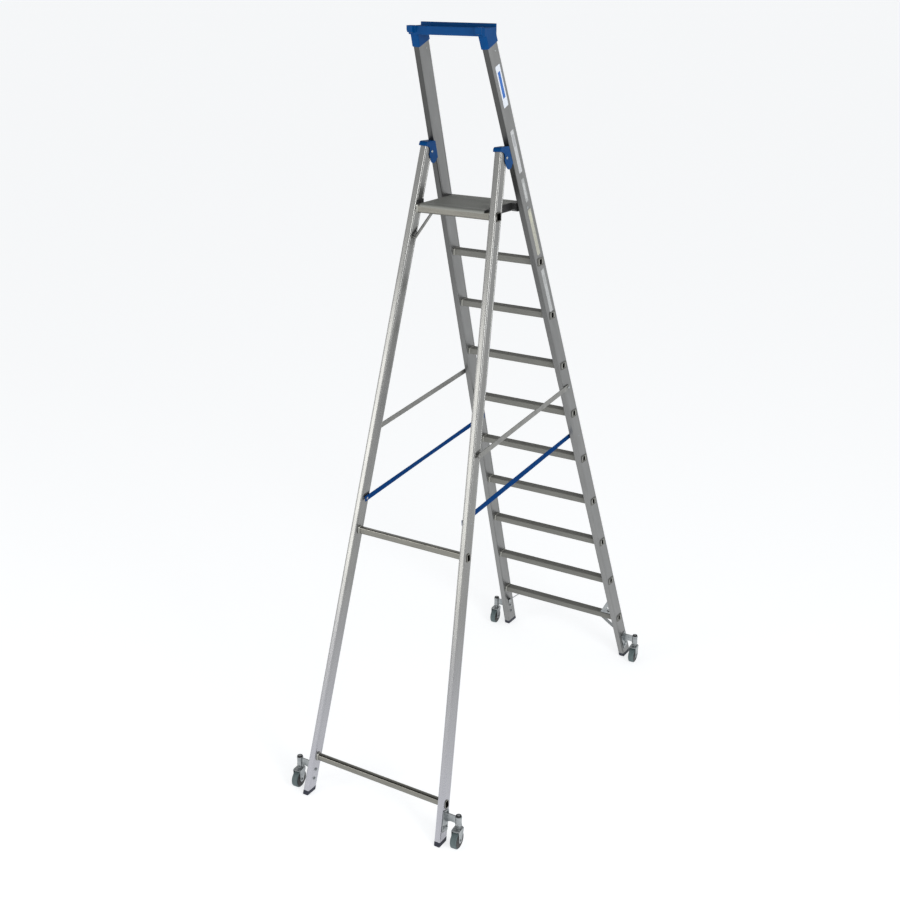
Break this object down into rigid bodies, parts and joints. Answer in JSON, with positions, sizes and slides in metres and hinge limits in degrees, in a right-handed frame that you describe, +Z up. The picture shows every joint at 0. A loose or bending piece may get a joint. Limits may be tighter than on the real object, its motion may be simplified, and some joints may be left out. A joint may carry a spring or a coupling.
{
  "type": "rolling folding platform ladder",
  "caption": "Folding aluminium rung ladder on sprung castors, with a standing platform, a support section behind, folding stays, safety straps and a tool tray on top.",
  "frame": {"origin": "on the floor under the middle of the open ladder, on its symmetry plane", "axes": "+Z up; the climbing side faces -Y and the support section stands at +Y; +X is the right hand of a person facing the ladder to climb it"},
  "size_m": [0.8235, 1.8174, 3.026],
  "materials": {
    "aluminium": "extruded, fine lines along the profile",
    "ribbed_aluminium": "extruded with fine grip ribs, duller than the stiles",
    "zinc_steel": "bright zinc plate",
    "blue_plastic": "moulded, fine grained",
    "black_plastic": "moulded",
    "webbing": "woven polyester",
    "boot": "moulded, matt",
    "tyre": "grey elastic rubber, slightly worn",
    "wheel_hub": "moulded, pale grey"
  },
  "bodies": {
    "climbing_frame": {"front_stile_right": "aluminium", "front_stile_left": "aluminium", "rung_1": "ribbed_aluminium", "rung_2": "ribbed_aluminium", "rung_3": "ribbed_aluminium", "rung_4": "ribbed_aluminium", "rung_5": "ribbed_aluminium", "rung_6": "ribbed_aluminium", "rung_7": "ribbed_aluminium", "rung_8": "ribbed_aluminium", "rung_9": "ribbed_aluminium", "front_foot_right": "boot", "front_foot_left": "boot", "rung_brace_right": "zinc_steel", "rung_brace_left": "zinc_steel", "corner_bracket_left": "zinc_steel", "top_tray": "blue_plastic", "hinge_bracket_right": "blue_plastic", "hinge_bracket_left": "blue_plastic", "hinge_pin_right": "zinc_steel", "hinge_pin_left": "zinc_steel", "stay_stud_right": "zinc_steel", "stay_stud_left": "zinc_steel", "safety_strap_right": "webbing", "safety_strap_left": "webbing", "castor_bracket_front_right": "zinc_steel", "castor_bracket_front_left": "zinc_steel"},
    "support_frame": {"rear_stile_right": "aluminium", "rear_stile_left": "aluminium", "crossbar_platform": "aluminium", "crossbar_middle": "aluminium", "crossbar_lower": "aluminium", "rear_foot_right": "boot", "rear_foot_left": "boot", "castor_bracket_rear_right": "zinc_steel", "castor_bracket_rear_left": "zinc_steel"},
    "platform": {"platform_plate": "ribbed_aluminium", "platform_cap_right": "black_plastic", "platform_cap_left": "black_plastic"},
    "strut_right": {"platform_strut_right": "zinc_steel"},
    "stay_right": {"stay_right": "zinc_steel"},
    "stay_left": {"stay_left": "zinc_steel"},
    "stem_front_right": {"castor_stem_front_right": "zinc_steel"},
    "fork_front_right": {"castor_fork_front_right": "zinc_steel"},
    "wheel_front_right": {"castor_tyre_front_right": "tyre", "castor_hub_front_right": "wheel_hub"},
    "stem_front_left": {"castor_stem_front_left": "zinc_steel"},
    "fork_front_left": {"castor_fork_front_left": "zinc_steel"},
    "wheel_front_left": {"castor_tyre_front_left": "tyre", "castor_hub_front_left": "wheel_hub"},
    "stem_rear_right": {"castor_stem_rear_right": "zinc_steel"},
    "fork_rear_right": {"castor_fork_rear_right": "zinc_steel"},
    "wheel_rear_right": {"castor_tyre_rear_right": "tyre", "castor_hub_rear_right": "wheel_hub"},
    "stem_rear_left": {"castor_stem_rear_left": "zinc_steel"},
    "fork_rear_left": {"castor_fork_rear_left": "zinc_steel"},
    "wheel_rear_left": {"castor_tyre_rear_left": "tyre", "castor_hub_rear_left": "wheel_hub"}
  },
  "joints": [
    {"name": "rear_fold", "type": "hinge", "parent": "climbing_frame", "child": "support_frame", "pos_m": [0, 0.193, 2.553], "axis": [-1, 0, 0], "range_deg": [0, 35.88], "deforming": ["safety_strap_right", "safety_strap_left"]},
    {"name": "platform_fold", "type": "hinge", "parent": "climbing_frame", "child": "platform", "pos_m": [0, 0.06, 2.35], "axis": [1, 0, 0], "range_deg": [0, 69]},
    {"name": "strut_turn_right", "type": "hinge", "parent": "support_frame", "child": "strut_right", "pos_m": [0.159, 0.2954, 2.2388], "axis": [-1, 0, 0], "range_deg": [0, 25.3]},
    {"name": "stay_turn_right", "type": "hinge", "parent": "support_frame", "child": "stay_right", "pos_m": [0.249, 0.49, 1.483], "axis": [-0.9981, 0, -0.0614], "range_deg": [0, 70.3]},
    {"name": "stay_turn_left", "type": "hinge", "parent": "support_frame", "child": "stay_left", "pos_m": [-0.249, 0.49, 1.483], "axis": [-0.9981, 0, 0.0614], "range_deg": [0, 70.3]},
    {"name": "castor_spring_front_right", "type": "slide", "parent": "climbing_frame", "child": "stem_front_right", "axis": [0, 0, 1], "range_m": [0, 0.007], "stiffness_N_per_m": 4000, "springref_m": -0.02},
    {"name": "castor_swivel_front_right", "type": "hinge", "parent": "stem_front_right", "child": "fork_front_right", "pos_m": [0.39022, -0.833, 0.0825], "axis": [0, 0, 1], "continuous": true},
    {"name": "wheel_spin_front_right", "type": "hinge", "parent": "fork_front_right", "child": "wheel_front_right", "pos_m": [0.38918, -0.81804, 0.037], "axis": [0.9976, 0.0698, 0], "continuous": true},
    {"name": "castor_spring_front_left", "type": "slide", "parent": "climbing_frame", "child": "stem_front_left", "axis": [0, 0, 1], "range_m": [0, 0.007], "stiffness_N_per_m": 4000, "springref_m": -0.02},
    {"name": "castor_swivel_front_left", "type": "hinge", "parent": "stem_front_left", "child": "fork_front_left", "pos_m": [-0.39022, -0.833, 0.0825], "axis": [0, 0, 1], "continuous": true},
    {"name": "wheel_spin_front_left", "type": "hinge", "parent": "fork_front_left", "child": "wheel_front_left", "pos_m": [-0.39127, -0.81804, 0.037], "axis": [0.9976, 0.0698, 0], "continuous": true},
    {"name": "castor_spring_rear_right", "type": "slide", "parent": "support_frame", "child": "stem_rear_right", "axis": [0, 0, 1], "range_m": [0, 0.007], "stiffness_N_per_m": 4000, "springref_m": -0.02},
    {"name": "castor_swivel_rear_right", "type": "hinge", "parent": "stem_rear_right", "child": "fork_rear_right", "pos_m": [0.38492, 0.852, 0.0825], "axis": [0, 0, 1], "continuous": true},
    {"name": "wheel_spin_rear_right", "type": "hinge", "parent": "fork_rear_right", "child": "wheel_rear_right", "pos_m": [0.38388, 0.86696, 0.037], "axis": [0.9976, 0.0698, 0], "continuous": true},
    {"name": "castor_spring_rear_left", "type": "slide", "parent": "support_frame", "child": "stem_rear_left", "axis": [0, 0, 1], "range_m": [0, 0.007], "stiffness_N_per_m": 4000, "springref_m": -0.02},
    {"name": "castor_swivel_rear_left", "type": "hinge", "parent": "stem_rear_left", "child": "fork_rear_left", "pos_m": [-0.38492, 0.852, 0.0825], "axis": [0, 0, 1], "continuous": true},
    {"name": "wheel_spin_rear_left", "type": "hinge", "parent": "fork_rear_left", "child": "wheel_rear_left", "pos_m": [-0.38597, 0.86696, 0.037], "axis": [0.9976, 0.0698, 0], "continuous": true}
  ],
  "couplings": [
    {"joint": "platform_fold", "follows": "rear_fold", "ratio": 1.9214},
    {"joint": "strut_turn_right", "follows": "rear_fold", "ratio": 0.7019},
    {"joint": "stay_turn_right", "follows": "rear_fold", "ratio": 1.9548},
    {"joint": "stay_turn_left", "follows": "rear_fold", "ratio": 1.9548}
  ]
}
